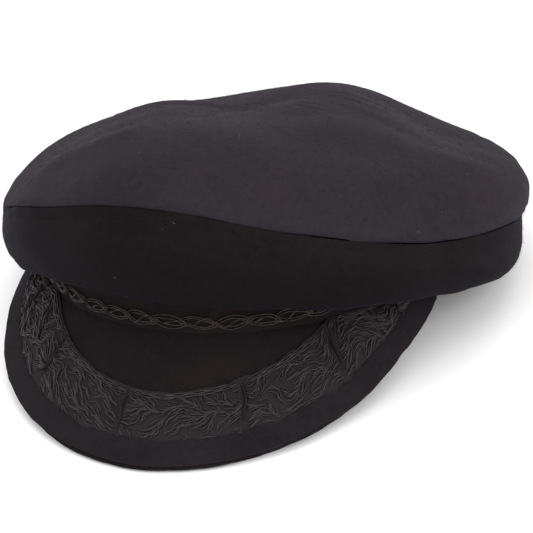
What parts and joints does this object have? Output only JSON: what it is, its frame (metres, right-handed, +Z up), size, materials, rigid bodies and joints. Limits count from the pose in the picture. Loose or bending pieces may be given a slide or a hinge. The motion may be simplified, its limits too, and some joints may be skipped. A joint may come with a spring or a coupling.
{
  "type": "breton fisherman cap",
  "caption": "Soft wool felt cap with a slumped crown, a stiff band, a bound peak with an embroidered trim, and a looped braid between buttons.",
  "frame": {"origin": "on the table under the middle of the cap's bounding box", "axes": "+Z up, -Y the way the peak points, +X the wearer's left"},
  "size_m": [0.2384, 0.282, 0.1162],
  "materials": {
    "top_felt": "brushed wool felt, matt",
    "side_felt": "brushed wool felt, matt",
    "band_felt": "wool felt, matt",
    "peak_felt": "wool felt over a board, matt",
    "binding_felt": "brushed wool felt, matt",
    "trim_thread": "embroidery thread, low sheen",
    "braid_cord": "twisted cord, low sheen",
    "button_cloth": "plain, low sheen"
  },
  "bodies": {
    "root": {"crown_top": "top_felt", "crown_side": "side_felt", "band": "band_felt", "peak": "peak_felt", "peak_binding": "binding_felt", "peak_trim": "trim_thread", "braid": "braid_cord", "button_left": "button_cloth", "button_right": "button_cloth"}
  },
  "joints": []
}
